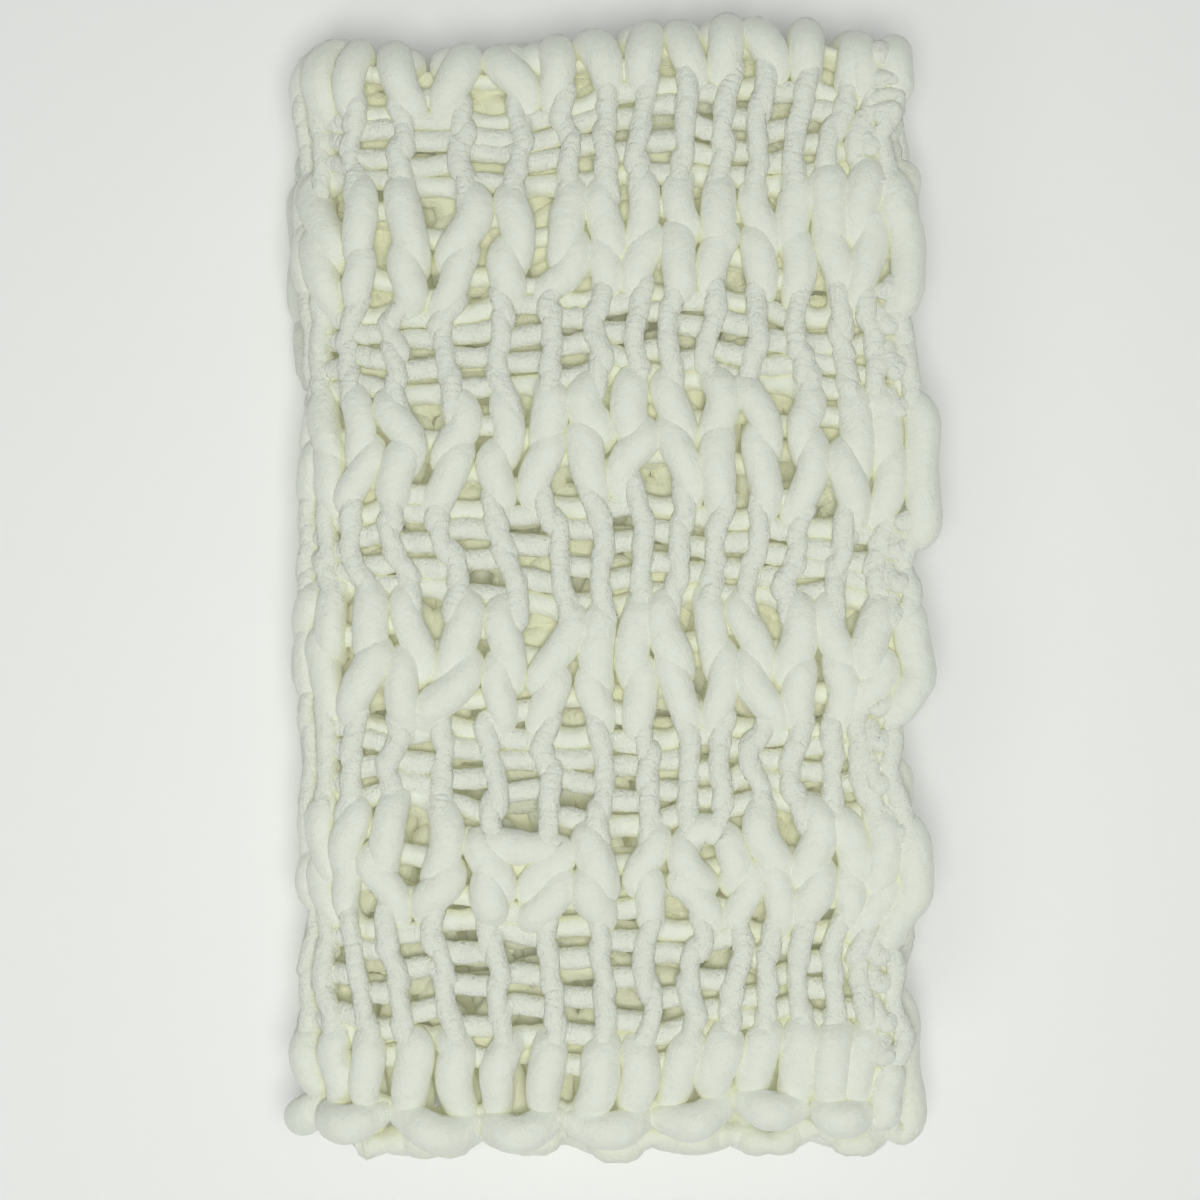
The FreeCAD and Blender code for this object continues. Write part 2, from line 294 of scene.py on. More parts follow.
def strand_of(number, first, last, samples):
    """A row's yarn from one column boundary to another, with a tucked-in point past each end."""
    places = np.linspace(first, last, (last - first) * samples + 1)
    before = [first - 1.0 / samples] if first > 0 else []
    after = [last + 1.0 / samples] if last < WALES else []
    across, along, out, radius = stitches(number, np.concatenate([before, places, after]))
    return tucked(across, along, out, radius, not before, not after)


def tucked(across, along, out, radius, add_start, add_end):
    """Adds the missing points past the ends and narrows both, so each end hides in its neighbour."""
    points = np.stack(uneven(across, along, out), axis=1)
    if add_start:
        points = np.concatenate([[2 * points[0] - points[1]], points])
        radius = np.concatenate([[radius[0]], radius])
    if add_end:
        points = np.concatenate([points, [2 * points[-1] - points[-2]]])
        radius = np.concatenate([radius, [radius[-1]]])
    radius = radius.copy()
    radius[0] *= HIDDEN_END
    radius[-1] *= HIDDEN_END
    return points, radius


def rounded(stops, samples):
    """A smooth run through rows of numbers (Catmull-Rom)."""
    stops = np.array(stops, float)
    stops = np.concatenate([[2 * stops[0] - stops[1]], stops, [2 * stops[-1] - stops[-2]]])
    at = np.linspace(0, len(stops) - 3 - 1e-9, samples)
    k = at.astype(int)
    t = (at - k)[:, None]
    a, b, c, d = (stops[k + i] for i in range(4))
    return 0.5 * (2 * b + (c - a) * t + (2 * a - 5 * b + 4 * c - d) * t**2 + (3 * b - a - 3 * c + d) * t**3)


def blunt(points, radius, at_start, at_end):
    """Rounds off the free ends of a strand."""
    angles = np.radians((25, 48, 66, 80))
    shrink, reach = np.cos(angles), np.sin(angles)
    if at_start:
        way = (points[0] - points[1]) / np.linalg.norm(points[0] - points[1])
        more = points[0] + way * (reach * radius[0])[:, None]
        points = np.concatenate([more[::-1], points])
        radius = np.concatenate([(shrink * radius[0])[::-1], radius])
    if at_end:
        way = (points[-1] - points[-2]) / np.linalg.norm(points[-1] - points[-2])
        more = points[-1] + way * (reach * radius[-1])[:, None]
        points = np.concatenate([points, more])
        radius = np.concatenate([radius, shrink * radius[-1]])
    return points, radius


def turning_loop(number, right, samples):
    """Where the yarn turns back at a side edge: out in a C round the end of two rows, and back behind."""
    row, after = COURSES[number], COURSES[number + 1]
    yarn = YARN[row.weight]
    edge = WALES * WALE if right else 0.0
    reach = TURN_REACH[row.weight, right] * (1 if right else -1)
    low, high = row.low - yarn["hook"], after.low - yarn["hook"]
    middle, far = (row.low + after.high) / 2, after.high
    front, behind, leg, back = yarn["front"], yarn["behind"], yarn["leg"], yarn["back"]
    lift = 0.35 * yarn["hook"]
    stops = [
        (edge, low, behind, back),
        (edge + 0.55 * reach, low + lift, 0.3 * front, 0.9 * leg),
        (edge + 0.95 * reach, row.low + lift, front, leg),
        (edge + reach, middle, front, leg),
        (edge + 0.8 * reach, far - lift, 0.5 * front, leg),
        (edge + 0.15 * reach, far + 0.5 * lift, behind / 2, 0.9 * back),
        (edge - 0.1 * reach, (high + far) / 2, behind, 0.8 * back),
        (edge, high, behind, back),
    ]
    across, along, out, radius = rounded(stops, samples).T
    return tucked(across, along, out, radius, True, True)


def carried_strand(low, high, samples):
    """Thin yarn carried along the right-hand side edge past a thin band, curling as it goes."""
    v = np.linspace(0, 1, samples)
    turns = 2 * math.pi * v * (high - low) / CARRIED_PITCH
    across = WALES * WALE - 1.5 * MM + 4.0 * MM * np.cos(turns)
    along = low + (high - low) * v + 5.0 * MM * np.sin(2 * turns + 1.0)
    out = 2.0 * MM + 6.0 * MM * np.sin(turns)
    return tucked(across, along, out, np.full(samples, CARRIED_R), True, True)


def edge_return(samples):
    """The yarn from the end of the cast-on chain up to the first row, at the right-hand side edge."""
    row = next(c for c in COURSES if c.upright and c.half == CAST)
    edge = WALES * WALE
    stops = [
        (edge - 2 * MM, CAST_ROLL, -5 * MM, 9 * MM),
        (edge + 6 * MM, CAST_ROLL + 8 * MM, 0.0, 10.5 * MM),
        (edge + 9 * MM, CAST_ROLL + 26 * MM, 3 * MM, 11 * MM),
        (edge + 6 * MM, CAST_ROLL + 44 * MM, 0.0, 10.0 * MM),
        (edge, row.low - 4 * MM, -6 * MM, 8 * MM),
    ]
    across, along, out, radius = rounded(stops, samples).T
    return tucked(across, along, out, radius, True, True)


def corner_curl(samples):
    """The curled tuft of thin yarn at the far right corner."""
    v = np.linspace(0, 1, samples)
    turns = 2 * math.pi * TUFT_TURNS * v + 0.6
    size = (14.0 - 4.0 * v) * MM
    across = WALES * WALE - 4.0 * MM + size * np.cos(turns)
    along = -22.0 * MM - 40.0 * MM * v + 7.0 * MM * np.sin(turns)
    out = 4.5 * MM + 0.5 * size * np.sin(turns + 0.8)
    return tucked(across, along, out, np.full(samples, TUFT_R), True, True)


def edge_roll(along, first, last, samples, squeezed=False):
    """The chain along the cast-on or bind-off edge: one fat sideways stitch a column."""
    free_start, free_end = first == 0, last == WALES
    low = first + ROLL_TRIM if free_start else first - 1.0 / samples
    high = last - ROLL_TRIM if free_end else last + 1.0 / samples
    places = np.linspace(low, high, round((high - low) * samples) + 1)
    wave = 2 * math.pi * places
    out = np.full(len(places), -5.0 * MM) if squeezed else 1.5 * MM - 6.5 * MM * np.cos(wave)
    fat = SQUEEZED_ROLL_R if squeezed else ROLL_R
    radius = ROLL_NECK_R + (fat - ROLL_NECK_R) * np.abs(np.sin(wave / 2)) ** 0.6
    inward = 1 if along < 0 else -1
    drop = along + inward * (5.5 * MM + 3.4 * MM * np.cos(wave))
    points = np.stack(uneven(places * WALE, drop, out), axis=1)
    radius[0] *= 1.0 if free_start else HIDDEN_END
    radius[-1] *= 1.0 if free_end else HIDDEN_END
    return blunt(points, radius, free_start, free_end)


# ---------------------------------------------------------------- folding the flat cloth
def half_fold(along, out):
    """(y, height in the double sheet) of cloth folded in half over the far edge."""
    turn = np.clip(-along / BEND_R, -math.pi / 2, math.pi / 2)
    straight = np.maximum(np.abs(along) - BEND, 0.0)
    y = FOLD_Y + (BEND_R + out) * np.cos(turn) - straight
    return y, LAYER + (BEND_R + out) * np.sin(turn)


def side_fold(across, height):
    """(x, z) of the double sheet folded in thirds: panel, right fold, panel, left fold, panel."""
    w = across / WALE
    right_turn = np.clip((w - R_START) * SEGMENT, 0, math.pi)
    left_turn = np.clip((w - L_START) * SEGMENT, 0, math.pi)
    r = FOLD_R - height
    angle = right_turn - math.pi / 2
    x = RIGHT_X + r * np.cos(angle) + np.minimum(w - R_START, 0) * WALE
    x = x - np.clip(w - R_END, 0, FLAT_WALES) * WALE
    z = RIGHT_Z + r * np.sin(angle)
    past_middle = w > L_START
    r = height + LEFT_Z - RIGHT_Z - FOLD_R
    angle = -math.pi / 2 - left_turn
    left_x = LEFT_X + r * np.cos(angle) + np.maximum(w - L_END, 0) * WALE
    left_z = LEFT_Z + r * np.sin(angle)
    return np.where(past_middle, left_x, x), np.where(past_middle, left_z, z)


HOLD = 6.5 * MM                                            # half the width that bends at a hinge
HALVINGS = 40                                              # steps of the search for a gathered point
FLOOR_GAP = 0.3 * MM                                       # lowest that a tube comes to the floor


class Column:
    """One column of stitches in a side fold, bending across one hinge between two bodies."""

    def __init__(self, name, wale, hinge, angle, sense, bodies):
        self.name, self.wale, self.bodies = name, wale, bodies
        self.hinge = hinge
        self.sense = sense
        self.radial = np.array([math.cos(angle), math.sin(angle)])
        self.tangent = sense * np.array([-math.sin(angle), math.cos(angle)])

    def ends(self):
        """Start and end of the bend."""
        low, high = self.hinge - HOLD * self.tangent, self.hinge + HOLD * self.tangent
        return (low[0], 0.0, low[1]), (high[0], 0.0, high[1])

    def gathered(self, across, height):
        """(x, z) at rest of points that lie evenly spaced once the hinge is open."""
        open_x = (across / WALE - self.wale - 0.5) * FOLD_R
        depth = height if self.sense > 0 else 2 * LAYER - height
        open_d = depth - FOLD_R * (1 - math.cos(SEGMENT / 2))
        low, high = np.full_like(open_x, -0.2), np.full_like(open_x, 0.2)
        for _ in range(HALVINGS):
            a = (low + high) / 2
            turn = (smooth((a + HOLD) / (2 * HOLD)) - 0.5) * SEGMENT
            more = open_x * np.cos(turn) - open_d * np.sin(turn) > a
            low, high = np.where(more, a, low), np.where(more, high, a)
        b = open_d * np.cos(turn) + open_x * np.sin(turn)
        place = self.hinge + a[:, None] * self.tangent - b[:, None] * self.radial
        return place[:, 0], place[:, 1]


def far_dip(across, along):
    """The far edge of the top panel lies lower at its left end."""
    w = across / WALE
    dip = smooth((w - R_END - 2) / 2.5) * (1 - smooth((w - L_END - 1.2) / 2.4))
    corner = smooth((w - WALES + 0.9) / 0.9) * np.exp(-((along / (45 * MM)) ** 2))
    return 15.0 * MM * dip * np.exp(-((along / (170 * MM)) ** 2)) + 13.0 * MM * corner


def squeezed_out(points, column):
    """How far each point stands off the cloth: less on the crowded inside of a side fold."""
    out = points[:, 2]
    if column is None:
        return out
    spare = np.maximum(out - 1.0 * MM, 0.0) * 0.4
    return out - spare * smooth(-column.sense * points[:, 1] / BEND)


def drawn_in(points, column):
    """How far the crowded inside of a side fold is drawn in from the near edge."""
    if column is None:
        return 0.0
    first = R_START if column.sense > 0 else L_START
    share = np.clip((points[:, 0] / WALE - first) / FOLD_WALES, 0.0, 1.0)
    inside = smooth(-column.sense * points[:, 1] / BEND)
    near_edge = np.interp(np.abs(points[:, 1]) / MM, NEAR_EDGE, (0, 1))
    return 18.0 * MM * smooth(1.5 * np.sin(math.pi * share)) * inside * near_edge


def fold_points(points, column=None):
    """Places in the pile of an array of cloth places."""
    y, height = half_fold(points[:, 1], squeezed_out(points, column))
    y = y - far_dip(points[:, 0], points[:, 1]) + drawn_in(points, column)
    x, z = side_fold(points[:, 0], height)
    if column is not None:
        depth = height if column.sense > 0 else 2 * LAYER - height
        share = smooth((depth - 0.8 * LAYER) / (0.4 * LAYER))
        gx, gz = column.gathered(points[:, 0], height)
        x, z = x + (gx - x) * share, z + (gz - z) * share
    return np.stack([x, y, np.maximum(z, FLOOR_GAP)], axis=1)


# ---------------------------------------------------------------- materials
NAP = (0.82, 0.85, 0.775)                                  # colour of the pile's tips
SHADE = (0.71, 0.72, 0.53)                                 # and of its depths: painted shade; also its mottle and painted glow
MOTTLE = 0.16                                              # how far lumps drift towards the shade colour
BACK_SHADE_SHARE = 0.2                                          # how far the back of the cloth drifts towards the shade colour, as painted shade
PAINTED_GLOW_SHARE = 0.14                                        # painted glow in sheltered yarn, standing in for light seeping through the pile
LUMP_HEIGHT = 1.8                                          # height of lumps in the bump, with the nap's as 1
RIB_PITCH = 4.2 * MM                                       # from one ring of tufts round the yarn to the next
RIB_SWAY = 7.0                                             # how far lumps bend those rings
SHELTER_REACH = 32 * MM                                    # how far off yarn still shelters a point
OPEN_SKY = 0.55                                            # share of the sky seen where shelter begins
DEEP_GAP = 0.1                                             # and where it is full


def socket(tree, name, kind, value=None, out=False):
    made = tree.interface.new_socket(name=name, in_out="OUTPUT" if out else "INPUT", socket_type=kind)
    if value is not None:
        made.default_value = value
    return made


def pile_group():
    """Plush pile: its mottled colour, with painted shade in shelter and on the back of the cloth, a painted
    glow in shelter, and its nap's height.
    """
    tree = bpy.data.node_groups.new("plush_pile", "ShaderNodeTree")
    socket(tree, "Nap Colour", "NodeSocketColor", (0.8, 0.8, 0.8, 1))
    socket(tree, "Shade Colour", "NodeSocketColor", (0.6, 0.6, 0.5, 1))
    socket(tree, "Nap Size", "NodeSocketFloat", 700.0)
    socket(tree, "Lump Size", "NodeSocketFloat", 120.0)
    socket(tree, "Rib Height", "NodeSocketFloat", 0.5)
    socket(tree, "Shelter", "NodeSocketFloat", 0.0)
    socket(tree, "Colour", "NodeSocketColor", out=True)
    socket(tree, "Painted Glow", "NodeSocketColor", out=True)
    socket(tree, "Height", "NodeSocketFloat", out=True)
    nodes, link = tree.nodes, tree.links.new
    given, result = nodes.new("NodeGroupInput"), nodes.new("NodeGroupOutput")
    place = nodes.new("ShaderNodeAttribute")
    place.attribute_name = "cloth_place"
    # the painted shade on the back of the cloth, read from the mesh
    depth = nodes.new("ShaderNodeAttribute")
    depth.attribute_name = "painted_back_shade"
    nap, lumps = nodes.new("ShaderNodeTexNoise"), nodes.new("ShaderNodeTexNoise")
    for noise, size, detail in ((nap, "Nap Size", 3.0), (lumps, "Lump Size", 2.0)):
        noise.inputs["Detail"].default_value = detail
        link(place.outputs["Vector"], noise.inputs["Vector"])
        link(given.outputs[size], noise.inputs["Scale"])
    mottle = nodes.new("ShaderNodeMapRange")
    mottle.inputs["From Min"].default_value = 0.3
    mottle.inputs["From Max"].default_value = 0.7
    mottle.inputs["To Min"].default_value = 0.0
    mottle.inputs["To Max"].default_value = MOTTLE
    link(lumps.outputs["Fac"], mottle.inputs["Value"])
    # the mix towards the shade colour: painted shade plus the lumps' random mottle
    both = nodes.new("ShaderNodeMath")
    both.operation = "ADD"
    both.use_clamp = True
    # painted shade: the back of the cloth's share, plus the shelter
    painted_shade = nodes.new("ShaderNodeMath")
    painted_shade.operation = "MULTIPLY_ADD"
    painted_shade.inputs[1].default_value = BACK_SHADE_SHARE
    link(depth.outputs["Fac"], painted_shade.inputs[0])
    link(given.outputs["Shelter"], painted_shade.inputs[2])
    link(painted_shade.outputs["Value"], both.inputs[0])
    link(mottle.outputs["Result"], both.inputs[1])
    # painted glow: the shade colour scaled by shelter, sent to emission
    share = nodes.new("ShaderNodeMath")
    share.operation = "MULTIPLY"
    share.inputs[1].default_value = PAINTED_GLOW_SHARE
    link(given.outputs["Shelter"], share.inputs[0])
    painted_glow = nodes.new("ShaderNodeVectorMath")
    painted_glow.operation = "SCALE"
    link(given.outputs["Shade Colour"], painted_glow.inputs[0])
    link(share.outputs["Value"], painted_glow.inputs["Scale"])
    link(painted_glow.outputs["Vector"], result.inputs["Painted Glow"])
    mix = nodes.new("ShaderNodeMix")
    mix.data_type = "RGBA"
    link(both.outputs["Value"], mix.inputs["Factor"])
    link(given.outputs["Nap Colour"], mix.inputs["A"])
    link(given.outputs["Shade Colour"], mix.inputs["B"])
    link(mix.outputs["Result"], result.inputs["Colour"])
    high = nodes.new("ShaderNodeMath")
    high.operation = "MULTIPLY_ADD"
    high.inputs[1].default_value = LUMP_HEIGHT
    link(lumps.outputs["Fac"], high.inputs[0])
    link(nap.outputs["Fac"], high.inputs[2])
    run = nodes.new("ShaderNodeAttribute")
    run.attribute_name = "yarn_run"
    sway = nodes.new("ShaderNodeMath")
    sway.operation = "MULTIPLY_ADD"
    sway.inputs[1].default_value = RIB_SWAY
    link(lumps.outputs["Fac"], sway.inputs[0])
    turns = nodes.new("ShaderNodeMath")
    turns.operation = "MULTIPLY"
    turns.inputs[1].default_value = 2 * math.pi / RIB_PITCH
    link(run.outputs["Fac"], turns.inputs[0])
    link(turns.outputs["Value"], sway.inputs[2])
    rib = nodes.new("ShaderNodeMath")
    rib.operation = "SINE"
    link(sway.outputs["Value"], rib.inputs[0])
    ribbed = nodes.new("ShaderNodeMath")
    ribbed.operation = "MULTIPLY_ADD"
    link(rib.outputs["Value"], ribbed.inputs[0])
    link(given.outputs["Rib Height"], ribbed.inputs[1])
    link(high.outputs["Value"], ribbed.inputs[2])
    link(ribbed.outputs["Value"], result.inputs["Height"])
    return tree


PILE = pile_group()


def plush(name, nap_size, lump_size, rib_height, nap_depth):
    """One weight of plush yarn."""
    made = bpy.data.materials.new(name)
    made.use_nodes = True
    nodes, link = made.node_tree.nodes, made.node_tree.links.new
    surface = nodes["Principled BSDF"]
    surface.inputs["Roughness"].default_value = 0.95
    surface.inputs["Specular IOR Level"].default_value = 0.15
    surface.inputs["Sheen Weight"].default_value = 0.5
    surface.inputs["Sheen Roughness"].default_value = 0.6
    pile = nodes.new("ShaderNodeGroup")
    pile.node_tree = PILE
    pile.inputs["Nap Colour"].default_value = (*NAP, 1)
    pile.inputs["Shade Colour"].default_value = (*SHADE, 1)
    pile.inputs["Nap Size"].default_value = nap_size
    pile.inputs["Lump Size"].default_value = lump_size
    pile.inputs["Rib Height"].default_value = rib_height
    # ambient occlusion: where yarn shelters a point, painted shade darkens its colour and a painted glow is
    # added
    shelter = nodes.new("ShaderNodeAmbientOcclusion")
    shelter.samples = 8
    shelter.inputs["Distance"].default_value = SHELTER_REACH
    sheltered = nodes.new("ShaderNodeMapRange")
    sheltered.interpolation_type = "SMOOTHSTEP"
    sheltered.inputs["From Min"].default_value = OPEN_SKY
    sheltered.inputs["From Max"].default_value = DEEP_GAP
    sheltered.inputs["To Min"].default_value = 0.0
    sheltered.inputs["To Max"].default_value = 1.0
    link(shelter.outputs["AO"], sheltered.inputs["Value"])
    link(sheltered.outputs["Result"], pile.inputs["Shelter"])
    # the yarn gives off the painted glow in sheltered spots, though it is no lamp
    surface.inputs["Emission Strength"].default_value = 1.0
    link(pile.outputs["Painted Glow"], surface.inputs["Emission Color"])
    bump = nodes.new("ShaderNodeBump")
    bump.inputs["Strength"].default_value = 0.8
    bump.inputs["Distance"].default_value = nap_depth
    link(pile.outputs["Colour"], surface.inputs["Base Color"])
    link(pile.outputs["Height"], bump.inputs["Height"])
    link(bump.outputs["Normal"], surface.inputs["Normal"])
    return made


PLUSH = {
    THICK: plush("thick_plush", nap_size=620.0, lump_size=130.0, rib_height=0.03, nap_depth=1.0 * MM),
    THIN: plush("thin_plush", nap_size=760.0, lump_size=210.0, rib_height=0.11, nap_depth=1.4 * MM),
}


# ---------------------------------------------------------------- tubes by geometry nodes
def tube_tree():
    """Strands to plush tubes: a round section of each point's yarn radius, then lumps and nap."""
    tree = bpy.data.node_groups.new("plush_tube", "GeometryNodeTree")
    socket(tree, "Strands", "NodeSocketGeometry")
    socket(tree, "Sides", "NodeSocketInt", 14)
    socket(tree, "Lump Depth", "NodeSocketFloat", 0.001)
    socket(tree, "Lump Scale", "NodeSocketFloat", 60.0)
    socket(tree, "Nap Depth", "NodeSocketFloat", 0.0005)
    socket(tree, "Nap Scale", "NodeSocketFloat", 160.0)
    socket(tree, "Seed", "NodeSocketFloat", 0.0)
    socket(tree, "Yarn", "NodeSocketMaterial")
    socket(tree, "Knit", "NodeSocketGeometry", out=True)
    nodes, link = tree.nodes, tree.links.new
    given, result = nodes.new("NodeGroupInput"), nodes.new("NodeGroupOutput")
    curve = nodes.new("GeometryNodeMeshToCurve")
    radius = nodes.new("GeometryNodeInputNamedAttribute")
    radius.data_type = "FLOAT"
    radius.inputs["Name"].default_value = "yarn_radius"
    ring = nodes.new("GeometryNodeCurvePrimitiveCircle")
    ring.inputs["Radius"].default_value = 1.0
    tube = nodes.new("GeometryNodeCurveToMesh")
    tube.inputs["Fill Caps"].default_value = True
    length = nodes.new("GeometryNodeSplineParameter")
    keep = nodes.new("GeometryNodeStoreNamedAttribute")
    keep.data_type = "FLOAT"
    keep.domain = "POINT"
    keep.inputs["Name"].default_value = "yarn_run"
    link(given.outputs["Strands"], curve.inputs["Mesh"])
    link(given.outputs["Sides"], ring.inputs["Resolution"])
    link(curve.outputs["Curve"], keep.inputs["Geometry"])
    link(length.outputs["Length"], keep.inputs["Value"])
    link(keep.outputs["Geometry"], tube.inputs["Curve"])
    link(ring.outputs["Curve"], tube.inputs["Profile Curve"])
    link(radius.outputs["Attribute"], tube.inputs["Scale"])
    shaped = tube.outputs["Mesh"]
    normal = nodes.new("GeometryNodeInputNormal")
    for depth, scale, detail in (("Lump Depth", "Lump Scale", 1.0), ("Nap Depth", "Nap Scale", 2.0)):
        noise = nodes.new("ShaderNodeTexNoise")
        noise.noise_dimensions = "4D"
        noise.inputs["Detail"].default_value = detail
        link(given.outputs[scale], noise.inputs["Scale"])
        link(given.outputs["Seed"], noise.inputs["W"])
        centred = nodes.new("ShaderNodeMath")
        centred.operation = "SUBTRACT"
        centred.inputs[1].default_value = 0.5
        link(noise.outputs["Fac"], centred.inputs[0])
        deep = nodes.new("ShaderNodeMath")
        deep.operation = "MULTIPLY"
        link(centred.outputs["Value"], deep.inputs[0])
        link(given.outputs[depth], deep.inputs[1])
        push = nodes.new("ShaderNodeVectorMath")
        push.operation = "SCALE"
        link(normal.outputs["Normal"], push.inputs[0])
        link(deep.outputs["Value"], push.inputs["Scale"])
        move = nodes.new("GeometryNodeSetPosition")
        link(shaped, move.inputs["Geometry"])
        link(push.outputs["Vector"], move.inputs["Offset"])
        shaped = move.outputs["Geometry"]
    soft = nodes.new("GeometryNodeSetShadeSmooth")
    real = nodes.new("GeometryNodeRealizeInstances")
    paint = nodes.new("GeometryNodeSetMaterial")
    link(shaped, soft.inputs["Geometry"])
    link(soft.outputs["Geometry"], real.inputs["Geometry"])
    link(real.outputs["Geometry"], paint.inputs["Geometry"])
    link(given.outputs["Yarn"], paint.inputs["Material"])
    link(paint.outputs["Geometry"], result.inputs["Knit"])
    return tree


TUBES = tube_tree()
TUBE_INPUT = {
    item.name: item.identifier
    for item in TUBES.interface.items_tree
    if item.item_type == "SOCKET" and item.in_out == "INPUT"
}
FINISH = {
    THICK: {"Lump Depth": 3.2 * MM, "Lump Scale": 38.0, "Nap Depth": 1.3 * MM, "Nap Scale": 170.0},
    THIN: {"Lump Depth": 2.6 * MM, "Lump Scale": 80.0, "Nap Depth": 3.2 * MM, "Nap Scale": 200.0},
}


BACK_PAINTED_SHADE = 0.8                                           # painted shade on the back of the cloth
BACK_START = 1.0 * MM                                      # how far out that painted shade begins
BACK_SPAN = 16.0 * MM                                      # and how far down it is full


def strands_mesh(name, strands):
    """Bare polylines with their yarn radius, one for each strand."""
    points = np.concatenate([p for p, _ in strands])
    radius = np.concatenate([r for _, r in strands])
    edges, start = [], 0
    for p, _ in strands:
        run = np.arange(start, start + len(p) - 1)
        edges.append(np.stack([run, run + 1], axis=1))
        start += len(p)
    mesh = bpy.data.meshes.new(name)
    mesh.from_pydata(points.tolist(), np.concatenate(edges).tolist(), [])
    mesh.attributes.new("yarn_radius", "FLOAT", "POINT").data.foreach_set("value", radius.astype(np.float32))
    return mesh


def knit_piece(name, strands, weight, sides, column=None):
    """Tubes round the strands, folded to their place: one finished mesh at the origin."""
    made = bpy.data.objects.new(name, strands_mesh(name + "_strands", strands))
    bpy.context.scene.collection.objects.link(made)
    shaper = made.modifiers.new("tubes", "NODES")
    shaper.node_group = TUBES
    for socket_name, value in {**FINISH[weight], "Sides": sides, "Seed": 1.0}.items():
        shaper[TUBE_INPUT[socket_name]] = value
    shaper[TUBE_INPUT["Yarn"]] = PLUSH[weight]
    seen = bpy.context.evaluated_depsgraph_get()
    mesh = bpy.data.meshes.new_from_object(made.evaluated_get(seen))
    made.modifiers.remove(shaper)
    bare, made.data = made.data, mesh
    bpy.data.meshes.remove(bare)
    mesh.name = name
    flat = np.zeros(len(mesh.vertices) * 3, np.float32)
    mesh.vertices.foreach_get("co", flat)
    mesh.attributes.new("cloth_place", "FLOAT_VECTOR", "POINT").data.foreach_set("vector", flat)
    flat = flat.reshape(-1, 3).astype(float)
    # painted shade on the back of the cloth: darker the further behind its middle a point lies
    depth = BACK_PAINTED_SHADE * smooth((BACK_START - flat[:, 2]) / BACK_SPAN)
    mesh.attributes.new("painted_back_shade", "FLOAT", "POINT").data.foreach_set("value", depth.astype(np.float32))
    if "yarn_radius" in mesh.attributes:
        mesh.attributes.remove(mesh.attributes["yarn_radius"])
    mesh.vertices.foreach_set("co", fold_points(flat, column).astype(np.float32).ravel())
    mesh.update()
    return made


# ---------------------------------------------------------------- pieces
FINE, PLAIN = (46, 24), (28, 16)                           # samples a stitch, sides of a tube
THIN_FINE, THIN_PLAIN = (42, 16), (20, 10)
ROWS = range(len(COURSES))


def rows_of(weight, half=None, kind="band"):
    return [i for i in ROWS if COURSES[i].weight == weight and COURSES[i].kind == kind
            and half in (None, COURSES[i].half)]


def detail(weight, fine):
    if weight == THICK:
        return FINE if fine else PLAIN
    return THIN_FINE if fine else THIN_PLAIN


def row_strands(rows, first, last, weight, fine):
    samples, sides = detail(weight, fine)
    return [strand_of(i, first, last, samples) for i in rows], sides


def thin_turns(right):
    """Rows after which the thin yarn turns back at a side edge."""
    found = []
    for half in (CAST, BIND):
        rows = rows_of(THIN, half)
        for band in range(BANDS):
            group = rows[THIN_ROWS * band:THIN_ROWS * (band + 1)]
            found += [group[0], group[2]] if right else [group[1]]
    return found


def thick_turns():
    """Rows after which the thick yarn turns back, one in each pair of thick rows."""
    return [i for i in ROWS[:-1] if COURSES[i].weight == THICK and COURSES[i + 1].weight == THICK]


def side_trimmings(half, samples):
    """The thin yarn carried along the right-hand side edge, and the tuft at its far corner."""
    rows = rows_of(THIN, half)
    made = []
    for band in range(BANDS):
        group = [COURSES[i] for i in rows[THIN_ROWS * band:THIN_ROWS * (band + 1)]]
        made.append(carried_strand(group[0].low - 6 * MM, group[-1].high + 6 * MM, 2 * samples))
    return made + ([corner_curl(3 * samples)] if half == CAST else [])


def panel_pieces(body, first, last, sides_up, fine_half):
    """The knit of one panel. sides_up says which half of the cloth is its upper layer."""
    halves = {"upper": sides_up, "lower": BIND if sides_up == CAST else CAST}
    right_edge, left_edge = last == WALES, first == 0
    for side, half in halves.items():
        fine = half in fine_half
        for weight in (THICK, THIN):
            strands, sides = row_strands(rows_of(weight, half), first, last, weight, fine)
            if weight == THIN and (right_edge or left_edge):
                samples = detail(THIN, fine)[0]
                turns = [i for i in thin_turns(right_edge) if COURSES[i].half == half]
                strands += [turning_loop(i, right_edge, samples) for i in turns]
                strands += side_trimmings(half, samples) if right_edge else []
            piece = knit_piece(f"{body}_{side}_{weight}_knit", strands, weight, sides)
            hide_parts(f"{body}_{side}_{weight}_bands")
            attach(piece, body)
    strands, sides = row_strands(rows_of(THICK, kind="far"), first, last, THICK, bool(fine_half))
    piece = knit_piece(f"{body}_far_bend_knit", strands, THICK, sides)
    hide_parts(f"{body}_far_bend")
    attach(piece, body)
    for half, along in ((CAST, CAST_ROLL), (BIND, BIND_ROLL)):
        samples, sides = detail(THICK, half in fine_half)
        roll = knit_piece(f"{body}_{half}_roll", [edge_roll(along, first, last, samples)], THICK, sides)
        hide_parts(f"{body}_{half}_edge")
        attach(roll, body)
    if right_edge or left_edge:
        samples, sides = detail(THICK, bool(fine_half))
        strands = [turning_loop(i, right_edge, samples) for i in thick_turns()]
        strands += [edge_return(samples)] if right_edge else []
        loops = knit_piece(f"{body}_selvedge_turns", strands, THICK, sides)
        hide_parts(f"{body}_selvedge_loops")
        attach(loops, body)


